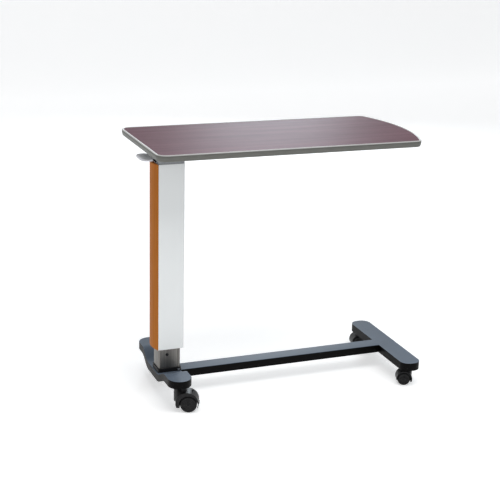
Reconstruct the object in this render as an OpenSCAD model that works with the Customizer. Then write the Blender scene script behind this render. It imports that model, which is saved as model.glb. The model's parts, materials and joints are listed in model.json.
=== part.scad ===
// Overbed table: a top carried at one end by a gas-sprung telescopic column, on a low wheeled base.
// Millimetres. +X runs along the top, away from the column, and +Z is up. The floor is z = 0, and
// the origin is on the floor under the middle of the whole table.

/* [Top] */
// Length of the top, from the straight end to the tip of the bowed end
top_l = 838; // [700:1:1020]
// Depth of the top
top_w = 400; // [340:1:460]
// Height of the top's surface, as stored
top_h = 780; // [760:1:940]
// How far the straight end stands out past the column's axis
top_overhang = 88; // [80:1:110]
// Rise of the bow at the far end
bow_rise = 42; // [25:1:70]
// Corner radius at the straight end
corner_r = 30; // [10:1:40]
// Corner radius at the bowed end
bow_corner_r = 26; // [12:1:50]
// Thickness of the core board
core_t = 16; // [12:1:22]
// Thickness of the decorative laminate
laminate_t = 1; // [0.6:0.1:1.5]
// Thickness of the backing sheet
backing_t = 1; // [0.6:0.1:1.5]
// Thickness of the edge band
band_t = 6; // [4:0.5:9]
// How far the band's bead stands above the laminate
bead_rise = 0.8; // [0.4:0.1:1.5]

/* [Under the top] */
// Length of the two rails
rail_l = 620; // [500:1:680]
// Width of a rail
rail_w = 30; // [25:1:40]
// Height of a rail
rail_h = 15; // [12:1:20]
// Wall of a rail
rail_wall = 1.5; // [1:0.1:2.5]
// Distance between the rails' centre lines
rail_gap = 190; // [160:1:240]
// Thickness of the mounting plate
plate_t = 5; // [4:0.5:8]
// Length of the mounting plate
plate_l = 200; // [160:1:260]

/* [Column] */
// Width of the outer column, without its bowed panel
outer_w = 80; // [76:1:96]
// Depth of the outer column
outer_d = 86; // [80:1:100]
// Wall of the outer column
outer_wall = 3; // [2:0.5:4]
// Rise of the bowed panel
panel_rise = 10; // [6:1:16]
// Wall of the bowed panel
panel_wall = 2.5; // [1.5:0.5:4]
// Height of the outer column's lower end, as stored
outer_low = 157; // [150:1:180]
// Width of the inner column
inner_w = 67; // [60:1:70]
// Depth of the inner column
inner_d = 54; // [48:1:60]
// Wall of the inner column
inner_wall = 3; // [2:0.5:4]
// Clearance of the two nylon guides
glide_gap = 0.3; // [0.2:0.05:0.5]
// Travel down from the stored height
travel_down = 60; // [30:1:62]
// Travel up from the stored height
travel_up = 220; // [150:1:240]

/* [Lift and release] */
// Radius of the gas spring's cylinder
cyl_r = 14; // [12:0.5:16]
// Length of the gas spring's cylinder beyond its stroke
cyl_spare = 125; // [100:1:130]
// Radius of the piston rod
rod_r = 5; // [4:0.5:6]
// Radius of the valve pin
valve_r = 1.5; // [1:0.1:2]
// Running clearance of pins and rods, on the radius
run_gap = 0.05; // [0.02:0.01:0.08]
// Thickness of the release lever
lever_t = 11; // [9:0.5:12]
// Width of the lever's paddle
paddle_w = 84; // [60:1:90]
// Reach of the paddle's tip from the column's axis
paddle_reach = 87; // [82:0.5:88]
// Radius of the lever's pivot pin
pivot_r = 3; // [2:0.5:4]

/* [Base] */
// Height of the base's upper face
base_h = 79; // [76:1:90]
// Distance from the column's axis to the far foot's centre line
foot_spacing = 733.5; // [650:0.5:800]
// Width of the beam
beam_w = 50; // [40:1:60]
// Height of the beam
beam_h = 25; // [22:1:30]
// Wall of the beam
beam_wall = 2; // [1.5:0.5:3]
// Length of the far foot
far_l = 390; // [340:1:440]
// Width of the far foot
far_w = 64; // [58:1:76]
// Corner radius of the far foot
far_r = 28; // [16:1:29]
// Length of the column foot
near_l = 368; // [330:1:400]
// Width of the column foot at its middle
near_mid_w = 76; // [72:1:90]
// Width of the column foot's two lobes
near_end_w = 71; // [56:1:80]
// How far the foot's middle lies behind the column's axis
near_behind = 16; // [0:1:30]
// How far the foot's middle lies outside the column's axis
near_outside = 3; // [0:1:6]
// Thickness of the column foot
near_t = 23; // [20:1:25]
// How far the lobes rise above the middle
near_rise = 25; // [12:1:32]

/* [Casters] */
// Wheel radius of the column foot's casters
near_wheel_r = 25; // [20.5:0.5:27]
// Wheel radius of the far foot's casters
far_wheel_r = 20; // [17:0.5:21]
// Width of one wheel of the column foot's casters
near_wheel_w = 17; // [13:0.5:19]
// Width of one wheel of the far foot's casters
far_wheel_w = 15; // [11:0.5:16]
// Trail of the column foot's casters
near_trail = 25; // [18:1:27]
// Trail of the far foot's casters
far_trail = 13; // [10:1:18]
// Radius of the stem housing of the column foot's casters
near_house_r = 19; // [15:1:22]
// Radius of the stem housing of the far foot's casters
far_house_r = 13; // [11:1:16]
// Distance from the far casters' axes to the ends of the far foot
caster_inset = 31; // [28:1:40]
// Radius of a caster's stem
stem_r = 5.5; // [4.5:0.5:6.5]
// Radius of a caster's axle
axle_r = 3; // [2:0.5:4]

/* [Hidden] */
$fn = 64;
eps = 0.01;

// Where the column stands, so that the origin is under the middle of the table
column_x = (top_overhang - foot_spacing - far_w / 2) / 2;

// Heights of the top's layers and of what carries them
board_low = top_h - laminate_t - core_t - backing_t;
rail_low = board_low - rail_h;
plate_low = rail_low - plate_t;
bow_half = top_w / 2;
bow_r = (bow_half * bow_half + bow_rise * bow_rise) / (2 * bow_rise);
bow_x = top_l - top_overhang - bow_r;
rail_x0 = -60;
plate_lip = 5;
plate_x0 = -outer_w / 2 - plate_lip;
plate_w = rail_gap + rail_w;
rail_screw_x = [300, 530];
plate_screw_x = [plate_x0 + 12, plate_x0 + plate_l - 18];
screw_r = 2.1;
screw_head_r = 4.5;
screw_head_t = 3;
screw_bite = 12;
groove_drop = 3.5;
groove_h = 1.2;
groove_t = 0.8;
bead_edge = 1;

// Head, lever and gas spring
head_flange_h = 24;
head_low = plate_low - head_flange_h;
head_plug_l = 40;
head_wall = 6;
head_web = 20;
slot_half = 17;
slot_low = head_low - 2;
slot_x1 = 14;
neck_half = 10;
pivot_x = -24;
pivot_z = plate_low - 9.5;
pivot_l = outer_d - 6;
valve_top = pivot_z - lever_t / 2 - 2;
nose_gap = 0.3;
nose_x = 6;
nose_r = 4;
paddle_gap = 3;
paddle_in = outer_w / 2 + panel_rise + paddle_gap;
paddle_l = paddle_reach - paddle_in;
paddle_r = min(22, paddle_l);
grip_l = 14;
grip_inset = 9;
grip_depth = 3;
valve_l = 60;
rod_top = slot_low;
nut_t = 8;
plug_top = 150;
cyl_low = plug_top + 6;
cyl_l = travel_down + travel_up + cyl_spare;
cyl_wall = 2;
gland_t = 14;
rod_in = 50;
rod_l = rod_top - (cyl_low + cyl_l) + travel_up + rod_in;
piston_t = 16;
stud_r = 5;
stud_l = 18;
spring_wire = 0.8;
spring_turns = 4;
plate_screw_y = rail_gap / 2;
head_screw = [outer_w / 2 - 8, outer_d / 2 - 11];
head_screw_r = 3;
head_screw_l = 22;
head_key_r = 2;

// Column section and its guides
outer_corner = 8;
outer_edge = 1.5;
bore_w = outer_w - 2 * outer_wall;
bore_d = outer_d - 2 * outer_wall;
bore_corner = 4;
inner_corner = 5;
inner_bore_w = inner_w - 2 * inner_wall;
inner_bore_d = inner_d - 2 * inner_wall;
panel_r = (outer_d * outer_d / 4 + panel_rise * panel_rise) / (2 * panel_rise);
lift_spare = 14;
glide_lip = 4;
inner_top = head_low - head_plug_l - travel_down - lift_spare - glide_lip;
guide_l = 40;
glide_l = 28;
column_groove = [1.4, 1.6];
column_groove_x = [-27, -21, -15, 24];
collar_h = 12;
collar_t = 3;
foot_bolt = [20, 14];
foot_bolt_bite = 22;
far_bolt_bite = 6;
bolt_r = 4;
bolt_head_r = 6.5;
bolt_head_t = 8;
column_screw_x = 8;
column_screw_z = 134;
column_screw_r = 3;
column_screw_head_r = 5;
column_screw_l = 16;
column_screw_sink = 0.3;
column_key_r = 1.6;
collar_screw_x = 27;
collar_screw_r = 1.5;

// Base
base_low = base_h - beam_h;
near_half = near_l / 2;
near_end_r = near_end_w / 2;
near_end_y = near_half - near_end_r;
bend_y0 = 46;
bend_y1 = near_end_y - 28;
near_end_low = base_h + near_rise - near_t;
tongue_t = 8;
tongue_w = beam_w - 2 * beam_wall - 2;
tongue_low = base_low + bolt_head_t;
plug_l = 60;
beam_screw_r = 3;
beam_screw_l = 18;
tongue_gap = 0.5;
beam_x0 = near_mid_w / 2 - near_outside;
beam_x1 = foot_spacing - far_w / 2;
near_tongue_x = -30;
far_tongue_x = foot_spacing + far_w / 2 - 9;
far_bolt_x = [foot_spacing - 16, foot_spacing + 10];
far_wall = 6;
far_skin = 7;
far_pocket_y = [[34, 76], [84, 126]];

// Casters: front and back of the column foot, then front and back of the far foot
caster_at = [
    [0, near_behind - near_end_y], [0, near_behind + near_end_y],
    [foot_spacing, caster_inset - far_l / 2], [foot_spacing, far_l / 2 - caster_inset]
];
caster_turn = [-21, -12, 159, 170];
mount_z = [near_end_low, near_end_low, base_low, base_low];
wheel_r = [near_wheel_r, near_wheel_r, far_wheel_r, far_wheel_r];
wheel_w = [near_wheel_w, near_wheel_w, far_wheel_w, far_wheel_w];
trail = [near_trail, near_trail, far_trail, far_trail];
house_r = [near_house_r, near_house_r, far_house_r, far_house_r];
web_t = 7;
side_gap = 0.6;
tread_gap = 2.5;
hood_extra = [6.5, 6.5, 2, 2];
hood_shift = [4, 4, 1.5, 1.5];
hood_low_share = 0.6;
house_low_share = 1.3;
collar_disc_r = 10;
collar_disc_t = 2;
swivel_gap = 0.5;
stem_low = 14;
socket_r = 7;
socket_l = 18;
pedal_half = 11;
pedal_gap = 0.4;
pedal_t = 2.2;
pedal_turn = 55;
pedal_low = -5;
pedal_pivot_in = 4;
pedal_hub_r = 3.4;
pedal_pin_r = 1.6;
pedal_pin_l = 3.5;
pedal_lip = 3;
pedal_lip_drop = -0.5;
pedal_web_r = 19;

// ---------- shared shapes ----------

module at_column() {
    translate([column_x, 0, 0]) children();
}

module round_rect(l, w, r) {
    square([l - 2 * r, w], center = true);
    square([l, w - 2 * r], center = true);
    for (sx = [-1, 1], sy = [-1, 1]) {
        translate([sx * (l / 2 - r), sy * (w / 2 - r)]) circle(r = r);
    }
}

// What a corner loses when it is rounded: the wedge between two directions, outside the circle
module corner_waste(c, r, a0, a1) {
    mid = (a0 + a1) / 2;
    difference() {
        translate(c) polygon(3 * r * [[0, 0], [cos(a0), sin(a0)], [cos(mid), sin(mid)], [cos(a1), sin(a1)]]);
        translate(c) circle(r = r);
    }
}

// The top's outline, moved inwards by d
module top_outline(d) {
    y_line = top_w / 2 - d;
    bow_c = [bow_x + sqrt(pow(bow_r - bow_corner_r, 2) - pow(top_w / 2 - bow_corner_r, 2)),
        top_w / 2 - bow_corner_r];
    bow_a = atan2(bow_c[1], bow_c[0] - bow_x);
    end_c = [corner_r - top_overhang, top_w / 2 - corner_r];
    difference() {
        intersection() {
            translate([d - top_overhang, -y_line]) square([top_l, 2 * y_line]);
            translate([bow_x, 0]) circle(r = bow_r - d, $fn = 360);
        }
        for (s = [0, 1]) {
            mirror([0, s]) corner_waste(end_c, corner_r - d, 90, 180);
            mirror([0, s]) corner_waste(bow_c, bow_corner_r - d, 90, bow_a);
        }
    }
}

module screw(shaft_r, shaft_l, head_r, head_t) {
    translate([0, 0, -eps]) cylinder(r = shaft_r, h = shaft_l + eps);
    translate([0, 0, -head_t]) difference() {
        cylinder(r = head_r, h = head_t);
        translate([0, 0, -eps]) cylinder(r = shaft_r, h = head_t / 2, $fn = 6);
    }
}

// ---------- top ----------

module tabletop_core() {
    color("burlywood") at_column() difference() {
        translate([0, 0, board_low + backing_t]) linear_extrude(core_t) top_outline(band_t);
        board_pilots();
    }
}

module board_pilots() {
    for (x = concat(rail_screw_x, plate_screw_x), s = [-1, 1]) {
        translate([x, s * rail_gap / 2, board_low - eps]) cylinder(r = screw_r, h = screw_bite + eps);
    }
}

module top_laminate() {
    color([0.50, 0.41, 0.45]) at_column() {
        translate([0, 0, top_h - laminate_t]) linear_extrude(laminate_t) top_outline(band_t);
    }
}

module backing_sheet() {
    color("gainsboro") at_column() difference() {
        translate([0, 0, board_low]) linear_extrude(backing_t) top_outline(band_t);
        board_pilots();
    }
}

module edge_band() {
    color([0.66, 0.67, 0.65]) at_column() difference() {
        union() {
            translate([0, 0, board_low]) linear_extrude(top_h - board_low) band_outline(0, band_t);
            translate([0, 0, top_h - eps]) linear_extrude(bead_rise + eps) {
                band_outline(bead_edge, band_t - bead_edge);
            }
        }
        translate([0, 0, top_h - groove_drop - groove_h]) linear_extrude(groove_h) difference() {
            translate([-top_overhang - 1, -top_w]) square([top_l + 2, 2 * top_w]);
            top_outline(groove_t);
        }
    }
}

module band_outline(d0, d1) {
    difference() {
        top_outline(d0);
        top_outline(d1);
    }
}

// ---------- under the top ----------

module rail(s) {
    color([0.25, 0.26, 0.28]) at_column() difference() {
        translate([rail_x0, s * rail_gap / 2, rail_low + rail_h / 2]) rotate([90, 0, 90]) {
            linear_extrude(rail_l) difference() {
                round_rect(rail_w, rail_h, 2);
                round_rect(rail_w - 2 * rail_wall, rail_h - 2 * rail_wall, 0.5);
            }
        }
        for (x = concat(rail_screw_x, plate_screw_x)) {
            translate([x, s * rail_gap / 2, rail_low - 1]) cylinder(r = screw_r, h = rail_h + 2);
        }
    }
}

module rail_front() {
    rail(-1);
}

module rail_back() {
    rail(1);
}

module rail_caps() {
    cap_t = 3;
    grip_l = 8;
    color([0.12, 0.12, 0.13]) at_column() for (s = [-1, 1], e = [0, 1]) {
        translate([rail_x0 + e * rail_l, s * rail_gap / 2, rail_low + rail_h / 2]) {
            mirror([1 - e, 0, 0]) rotate([90, 0, 90]) {
                linear_extrude(cap_t) round_rect(rail_w, rail_h, 2);
                translate([0, 0, -grip_l]) linear_extrude(grip_l + eps) {
                    round_rect(rail_w - 2 * rail_wall, rail_h - 2 * rail_wall, 0.5);
                }
            }
        }
    }
}

module mounting_plate() {
    color([0.25, 0.26, 0.28]) at_column() difference() {
        translate([plate_x0 + plate_l / 2, 0, plate_low]) linear_extrude(plate_t) {
            round_rect(plate_l, plate_w, 12);
        }
        for (x = plate_screw_x, s = [-1, 1]) {
            translate([x, s * plate_screw_y, plate_low - 1]) cylinder(r = screw_r, h = plate_t + 2);
        }
        at_head_screws() countersunk(2 * plate_t);
    }
}

module rail_screws() {
    color("silver") at_column() for (x = rail_screw_x, s = [-1, 1]) {
        translate([x, s * rail_gap / 2, rail_low]) {
            screw(screw_r, rail_h + screw_bite, screw_head_r, screw_head_t);
        }
    }
}

module plate_screws() {
    color("silver") at_column() for (x = plate_screw_x, s = [-1, 1]) {
        translate([x, s * plate_screw_y, plate_low]) {
            screw(screw_r, plate_t + rail_h + screw_bite, screw_head_r, screw_head_t);
        }
    }
}

// At each countersunk screw of the head, on the mounting plate's upper face
module at_head_screws() {
    for (sx = [-1, 1], sy = [-1, 1]) {
        translate([sx * head_screw[0], sy * head_screw[1], rail_low]) children();
    }
}

// A countersunk screw of length l, with its flat head level with z = 0
module countersunk(l) {
    r = head_screw_r;
    rotate_extrude() polygon([[0, -l], [r, -l], [r, -r], [2 * r, 0], [0, 0]]);
}

module head_screws() {
    color("silver") at_column() at_head_screws() difference() {
        countersunk(head_screw_l);
        translate([0, 0, -2]) cylinder(r = head_key_r, h = 3, $fn = 6);
    }
}

// ---------- head and release ----------

module column_head() {
    color([0.30, 0.31, 0.33]) at_column() difference() {
        union() {
            translate([0, 0, head_low]) linear_extrude(head_flange_h) {
                round_rect(outer_w - 2, outer_d - 2, outer_corner);
            }
            translate([0, 0, head_low - head_plug_l]) linear_extrude(head_plug_l + eps) {
                round_rect(bore_w, bore_d, bore_corner);
            }
        }
        translate([0, 0, head_low - head_plug_l - 1]) linear_extrude(head_plug_l + 1 - head_web) {
            round_rect(bore_w - 2 * head_wall, bore_d - 2 * head_wall, bore_corner);
        }
        translate([-outer_w, -slot_half, slot_low]) {
            cube([outer_w + slot_x1, 2 * slot_half, plate_low - slot_low + 1]);
        }
        translate([0, 0, head_low - head_plug_l]) cylinder(r = rod_r, h = head_plug_l);
        translate([pivot_x, 0, pivot_z]) rotate([90, 0, 0]) {
            cylinder(r = pivot_r, h = 2 * outer_d, center = true);
        }
        at_head_screws() translate([0, 0, -head_screw_l]) cylinder(r = head_screw_r, h = head_screw_l + 1);
    }
}

module release_lever() {
    low = pivot_z - lever_t / 2;
    color([0.70, 0.71, 0.72]) at_column() difference() {
        union() {
            translate([-paddle_in - eps, -neck_half, low]) {
                cube([paddle_in + eps + nose_x - neck_half, 2 * neck_half, lever_t]);
            }
            translate([nose_x - neck_half, 0, low]) cylinder(r = neck_half, h = lever_t);
            translate([0, 0, valve_top + nose_gap]) cylinder(r = nose_r, h = lever_t);
            translate([0, 0, low]) linear_extrude(lever_t) paddle_outline();
        }
        translate([pivot_x, 0, pivot_z]) rotate([90, 0, 0]) {
            cylinder(r = pivot_r + run_gap, h = 3 * neck_half, center = true);
        }
        translate([grip_l / 2 + grip_inset - paddle_reach, 0, low - 1]) linear_extrude(grip_depth + 1) {
            round_rect(grip_l, paddle_w - 24, 6);
        }
    }
}

// The paddle, rounded at its two outer corners and straight where it faces the column
module paddle_outline() {
    intersection() {
        translate([-paddle_reach, -paddle_w / 2]) square([paddle_l, paddle_w]);
        translate([-paddle_in, 0]) round_rect(2 * paddle_l, paddle_w, paddle_r);
    }
}

module lever_pin() {
    color("silver") at_column() translate([pivot_x, 0, pivot_z]) rotate([90, 0, 0]) {
        cylinder(r = pivot_r, h = pivot_l, center = true);
    }
}

// A torsion spring round the pivot pin, beside the lever's neck
module lever_spring() {
    coil_r = pivot_r + spring_wire + 0.6;
    pitch = 1.5 * spring_wire;
    start = neck_half + spring_wire + 0.5;
    color("silver") at_column() translate([pivot_x, start, pivot_z]) rotate([-90, 0, 0]) {
        for (i = [0 : spring_turns - 1]) {
            translate([0, 0, i * pitch]) rotate_extrude() translate([coil_r, 0]) {
                circle(r = spring_wire, $fn = 24);
            }
        }
        translate([0, coil_r, 0]) rotate([0, 90, 0]) cylinder(r = spring_wire, h = 14);
        translate([0, coil_r, (spring_turns - 1) * pitch]) rotate([0, -90, 0]) {
            cylinder(r = spring_wire, h = 12);
        }
    }
}

module valve_pin() {
    color("silver") at_column() translate([0, 0, valve_top - valve_l]) {
        cylinder(r = valve_r, h = valve_l);
    }
}

// ---------- column ----------

module outer_column() {
    color([0.90, 0.92, 0.92]) at_column() translate([0, 0, outer_low]) {
        linear_extrude(head_low - outer_low) difference() {
            union() {
                translate([outer_corner / 2, 0]) {
                    round_rect(outer_w - outer_corner, outer_d, outer_corner);
                }
                translate([outer_corner / 2 - outer_w / 4, 0]) {
                    round_rect(outer_w / 2 + outer_corner, outer_d, outer_edge);
                }
            }
            round_rect(bore_w, bore_d, bore_corner);
        }
    }
}

// The bowed section of the panel, moved inwards by d
module panel_section(d) {
    intersection() {
        translate([panel_r - outer_w / 2 - panel_rise, 0]) circle(r = panel_r - d, $fn = 180);
        translate([-outer_w, d - outer_d / 2]) square([outer_w / 2 - d, outer_d - 2 * d]);
    }
}

module wood_panel() {
    color([0.76, 0.44, 0.20]) at_column() translate([0, 0, outer_low]) {
        linear_extrude(head_low - outer_low) difference() {
            panel_section(0);
            panel_section(panel_wall);
        }
    }
}

module lower_guide() {
    color([0.14, 0.14, 0.15]) at_column() translate([0, 0, outer_low + 0.5]) {
        linear_extrude(guide_l) difference() {
            round_rect(bore_w, bore_d, bore_corner);
            round_rect(inner_w + 2 * glide_gap, inner_d + 2 * glide_gap, inner_corner);
        }
    }
}

module upper_glide() {
    color([0.14, 0.14, 0.15]) at_column() translate([0, 0, inner_top + glide_lip - glide_l]) {
        difference() {
            linear_extrude(glide_l) {
                round_rect(bore_w - 2 * glide_gap, bore_d - 2 * glide_gap, bore_corner - glide_gap);
            }
            translate([0, 0, -1]) linear_extrude(glide_l - glide_lip + 1) {
                round_rect(inner_w, inner_d, inner_corner);
            }
            linear_extrude(glide_l + 1) {
                round_rect(inner_bore_w, inner_bore_d, inner_corner - inner_wall);
            }
        }
    }
}

module inner_column() {
    color([0.62, 0.61, 0.59]) at_column() difference() {
        translate([0, 0, base_h]) linear_extrude(inner_top - base_h) difference() {
            round_rect(inner_w, inner_d, inner_corner);
            round_rect(inner_bore_w, inner_bore_d, inner_corner - inner_wall);
            for (x = column_groove_x, s = [-1, 1]) {
                translate([x, s * inner_d / 2]) square(column_groove, center = true);
            }
        }
        at_column_screws() screw_cone(-1);
        at_collar_screws() cylinder(r = collar_screw_r, h = collar_t + inner_wall + 1);
    }
}

// At each countersunk screw of the inner column, pointing into it
module at_column_screws() {
    for (a = [0, 180]) {
        rotate([0, 0, a]) translate([-column_screw_x, -inner_d / 2, column_screw_z]) {
            rotate([-90, 0, 0]) children();
        }
    }
}

// A countersunk screw, or its hole, from the depth d inwards
module screw_cone(d) {
    head_r = column_screw_head_r;
    rotate_extrude() polygon([
        [0, d], [head_r - d, d], [column_screw_r, head_r - column_screw_r],
        [column_screw_r, column_screw_l], [0, column_screw_l]
    ]);
}

module column_screws() {
    color("dimgray") at_column() at_column_screws() difference() {
        screw_cone(column_screw_sink);
        cylinder(r = column_key_r, h = 2, $fn = 6);
    }
}

module column_plug() {
    color([0.55, 0.56, 0.58]) at_column() difference() {
        translate([0, 0, base_h]) linear_extrude(plug_top - base_h) {
            round_rect(inner_bore_w, inner_bore_d, inner_corner - inner_wall);
        }
        at_foot_bolts() cylinder(r = bolt_r, h = base_h + foot_bolt_bite + 3 - tongue_low);
        translate([0, 0, plug_top - stud_l]) cylinder(r = stud_r, h = stud_l + 1);
        at_column_screws() screw_cone(-1);
    }
}

module base_collar() {
    color([0.10, 0.10, 0.11]) at_column() difference() {
        translate([0, 0, base_h]) linear_extrude(collar_h) difference() {
            round_rect(inner_w + 2 * collar_t, inner_d + 2 * collar_t, inner_corner);
            round_rect(inner_w, inner_d, inner_corner);
        }
        at_collar_screws() translate([0, 0, -1]) cylinder(r = collar_screw_r, h = collar_t + 2);
    }
}

// At each screw of the collar, on its outer face, pointing in
module at_collar_screws() {
    for (a = [0, 180]) {
        rotate([0, 0, a]) translate([collar_screw_x, -inner_d / 2 - collar_t, base_h + collar_h / 2]) {
            rotate([-90, 0, 0]) children();
        }
    }
}

module collar_screws() {
    color("silver") at_column() at_collar_screws() {
        screw(collar_screw_r, collar_t + inner_wall, 2 * collar_screw_r, 2.2);
    }
}

// ---------- gas spring ----------

module gas_cylinder() {
    color([0.13, 0.13, 0.14]) at_column() {
        translate([0, 0, plug_top - stud_l]) cylinder(r = stud_r, h = cyl_low - plug_top + stud_l + eps);
        translate([0, 0, cyl_low]) difference() {
            cylinder(r = cyl_r, h = cyl_l);
            translate([0, 0, 6]) cylinder(r = cyl_r - cyl_wall, h = cyl_l);
        }
    }
}

module gas_gland() {
    color([0.85, 0.84, 0.80]) at_column() translate([0, 0, cyl_low + cyl_l - gland_t]) difference() {
        union() {
            cylinder(r = cyl_r - cyl_wall, h = gland_t + eps);
            translate([0, 0, gland_t]) cylinder(r1 = cyl_r, r2 = cyl_r - 3, h = 3);
        }
        translate([0, 0, -1]) cylinder(r = rod_r + run_gap, h = gland_t + 5);
    }
}

module gas_rod() {
    color([0.80, 0.81, 0.83]) at_column() difference() {
        translate([0, 0, rod_top - rod_l]) cylinder(r = rod_r, h = rod_l);
        translate([0, 0, valve_top - valve_l - 5]) cylinder(r = valve_r + run_gap, h = valve_l + 5);
    }
}

module gas_piston() {
    color([0.70, 0.62, 0.35]) at_column() translate([0, 0, rod_top - rod_l]) difference() {
        cylinder(r = cyl_r - cyl_wall - run_gap, h = piston_t);
        translate([0, 0, -1]) cylinder(r = rod_r, h = piston_t + 2);
        translate([0, 0, piston_t / 2 - 1.5]) difference() {
            cylinder(r = cyl_r, h = 3);
            translate([0, 0, -1]) cylinder(r = cyl_r - cyl_wall - 1.5, h = 5);
        }
    }
}

module rod_nut() {
    color("silver") at_column() translate([0, 0, head_low - head_web - nut_t]) difference() {
        cylinder(r = 1.8 * rod_r, h = nut_t, $fn = 6);
        translate([0, 0, -1]) cylinder(r = rod_r, h = nut_t + 2);
    }
}

// ---------- base ----------

function ease(t) = t <= 0 ? 0 : t >= 1 ? 1 : t * t * (3 - 2 * t);
function bend(y) = ease((abs(y) - bend_y0) / (bend_y1 - bend_y0));
function near_top_z(y) = base_h + near_rise * bend(y);
function near_half_w(y) = (near_mid_w + (near_end_w - near_mid_w) * bend(y)) / 2;

// Stations along the column foot, closer together where it bends
bend_steps = 14;
bend_y = [for (i = [0 : bend_steps]) bend_y0 + (bend_y1 - bend_y0) * i / bend_steps];
near_y = concat([-near_half], [for (i = [bend_steps : -1 : 0]) -bend_y[i]], bend_y, [near_half]);

module near_side_outline() {
    polygon(concat(
        [for (y = near_y) [y, near_top_z(y)]],
        [for (i = [len(near_y) - 1 : -1 : 0]) [near_y[i], near_top_z(near_y[i]) - near_t]]
    ));
}

module near_plan_outline() {
    inner_y = [for (y = near_y) max(-near_end_y, min(near_end_y, y))];
    polygon(concat(
        [for (y = inner_y) [near_half_w(y), y]],
        [for (i = [len(inner_y) - 1 : -1 : 0]) [-near_half_w(inner_y[i]), inner_y[i]]]
    ));
    for (s = [-1, 1]) {
        translate([0, s * near_end_y]) circle(r = near_end_r);
    }
}

module column_foot() {
    color([0.20, 0.21, 0.23]) at_column() difference() {
        translate([-near_outside, near_behind, 0]) intersection() {
            translate([-near_mid_w, 0, 0]) rotate([90, 0, 90]) linear_extrude(2 * near_mid_w) {
                near_side_outline();
            }
            linear_extrude(2 * base_h) near_plan_outline();
        }
        translate([near_tongue_x - tongue_gap, -tongue_w / 2 - tongue_gap, 0]) {
            cube([near_mid_w, tongue_w + 2 * tongue_gap, tongue_low + tongue_t]);
        }
        at_foot_bolts() cylinder(r = bolt_r, h = base_h);
        for (i = [0, 1]) translate([caster_at[i][0], caster_at[i][1], 0]) {
            cylinder(r = socket_r, h = mount_z[i] + socket_l);
        }
    }
}

module at_foot_bolts() {
    for (sx = [-1, 1], sy = [-1, 1]) {
        translate([sx * foot_bolt[0], sy * foot_bolt[1], tongue_low]) children();
    }
}

module foot_bolts() {
    color("silver") at_column() at_foot_bolts() {
        screw(bolt_r, base_h + foot_bolt_bite - tongue_low, bolt_head_r, bolt_head_t);
    }
}

module cross_beam() {
    color([0.20, 0.21, 0.23]) at_column() difference() {
        translate([beam_x0, 0, base_low + beam_h / 2]) rotate([90, 0, 90]) {
            linear_extrude(beam_x1 - beam_x0) difference() {
                round_rect(beam_w, beam_h, 2);
                round_rect(beam_w - 2 * beam_wall, beam_h - 2 * beam_wall, 0.5);
            }
        }
        at_beam_screws() cylinder(r = beam_screw_r, h = 3 * beam_wall, center = true);
    }
}

// The block inside the beam's end, and its tongue
module beam_plug(x_end, x_tongue) {
    x_block = x_end < foot_spacing / 2 ? x_end : x_end - plug_l;
    difference() {
        union() {
            translate([x_block, 0, base_low + beam_h / 2]) rotate([90, 0, 90]) linear_extrude(plug_l) {
                round_rect(beam_w - 2 * beam_wall, beam_h - 2 * beam_wall, 0.5);
            }
            translate([min(x_end, x_tongue) - eps, -tongue_w / 2, tongue_low]) {
                cube([abs(x_tongue - x_end) + 2 * eps, tongue_w, tongue_t]);
            }
        }
        at_beam_screws() cylinder(r = beam_screw_r, h = beam_screw_l);
    }
}

module beam_plug_near() {
    color("slategray") at_column() difference() {
        beam_plug(beam_x0, near_tongue_x);
        at_foot_bolts() cylinder(r = bolt_r, h = base_h, center = true);
    }
}

module beam_plug_far() {
    color("slategray") at_column() difference() {
        beam_plug(beam_x1, far_tongue_x);
        at_far_bolts() cylinder(r = bolt_r, h = base_h, center = true);
    }
}

module at_far_bolts() {
    for (x = far_bolt_x) {
        translate([x, 0, tongue_low]) children();
    }
}

// At each screw under the beam, on its lower face
module at_beam_screws() {
    for (d = [plug_l / 4, 3 * plug_l / 4]) {
        translate([beam_x0 + d, 0, base_low]) children();
        translate([beam_x1 - d, 0, base_low]) children();
    }
}

module beam_screws() {
    color("silver") at_column() at_beam_screws() {
        screw(beam_screw_r, beam_screw_l, 2 * beam_screw_r, beam_screw_r);
    }
}

module far_foot() {
    color([0.20, 0.21, 0.23]) at_column() difference() {
        translate([foot_spacing, 0, base_low]) linear_extrude(beam_h) round_rect(far_w, far_l, far_r);
        translate([beam_x1 - 1, -tongue_w / 2 - tongue_gap, base_low - 1]) {
            cube([far_tongue_x + tongue_gap + 1 - beam_x1, tongue_w + 2 * tongue_gap,
                tongue_low + tongue_t + 1 - base_low]);
        }
        at_far_bolts() cylinder(r = bolt_r, h = tongue_t + far_bolt_bite);
        for (p = far_pocket_y, s = [-1, 1]) {
            translate([foot_spacing, s * (p[0] + p[1]) / 2, base_low - 1]) {
                linear_extrude(beam_h - far_skin + 1) round_rect(far_w - 2 * far_wall, p[1] - p[0], 6);
            }
        }
        for (i = [2, 3]) translate([caster_at[i][0], caster_at[i][1], 0]) {
            cylinder(r = socket_r, h = mount_z[i] + socket_l);
        }
    }
}

module far_foot_bolts() {
    color("silver") at_column() at_far_bolts() {
        screw(bolt_r, tongue_t + far_bolt_bite, bolt_head_r, bolt_head_t);
    }
}

// ---------- casters ----------

module at_caster(i) {
    at_column() translate([caster_at[i][0], caster_at[i][1], 0]) rotate([0, 0, caster_turn[i]]) children();
}

// On a caster's axle: the local Z axis runs along it
module at_axle(i) {
    at_caster(i) translate([trail[i], 0, wheel_r[i]]) rotate([90, 0, 0]) children();
}

// On the centre of a caster's hood, which lies above the axle and nearer to the stem
module at_hood(i) {
    at_axle(i) translate([-hood_shift[i], hood_shift[i], 0]) children();
}

function hood_w(i) = web_t + 2 * (side_gap + wheel_w[i]);
function hood_r(i) = wheel_r[i] + tread_gap + hood_extra[i];

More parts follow.
